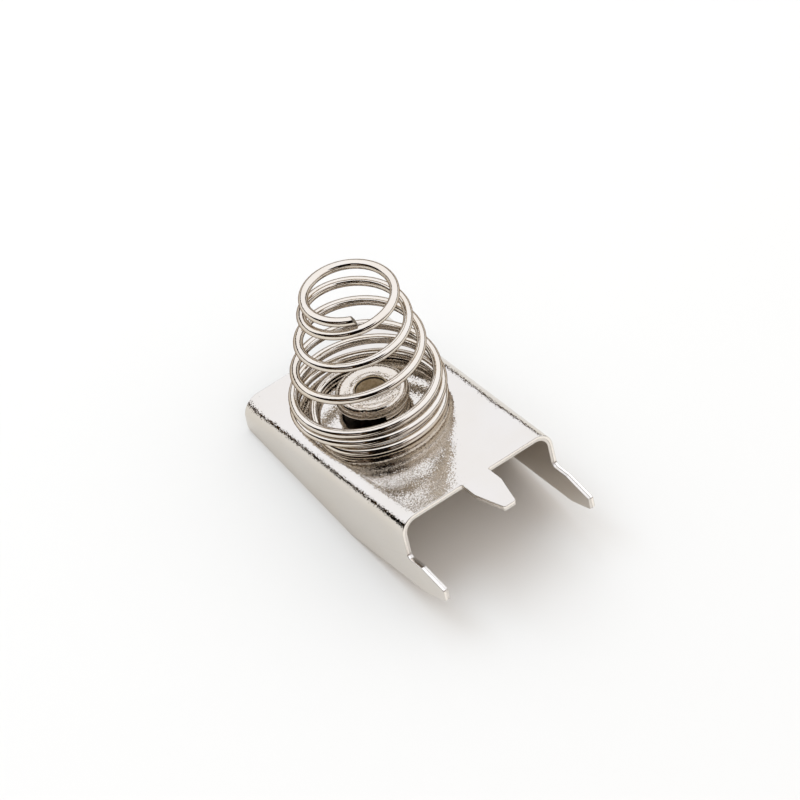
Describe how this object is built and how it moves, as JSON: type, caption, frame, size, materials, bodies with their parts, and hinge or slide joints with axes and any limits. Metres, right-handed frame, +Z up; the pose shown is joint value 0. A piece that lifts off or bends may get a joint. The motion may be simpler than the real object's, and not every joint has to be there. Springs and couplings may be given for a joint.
{
  "type": "battery spring contact",
  "caption": "Folded sheet terminal with a conical coil spring clamped by an eyelet and solder pins along its front edge; it presses on a cell and passes current to a board.",
  "frame": {"origin": "middle of the footprint on the table the part lies on, resting on the slanted lower edges of both flanges", "axes": "+Z up from the table, +X along the length towards the solder pins, +Y towards the right flange"},
  "size_m": [0.0166, 0.0094, 0.0108],
  "materials": {
    "plated_sheet": "bright nickel plating on cold rolled strip",
    "plated_wire": "bright nickel plating on spring wire",
    "plated_eyelet": "bright nickel plating"
  },
  "bodies": {
    "root": {"terminal_plate": "plated_sheet", "coil_spring": "plated_wire", "eyelet": "plated_eyelet"}
  },
  "joints": []
}
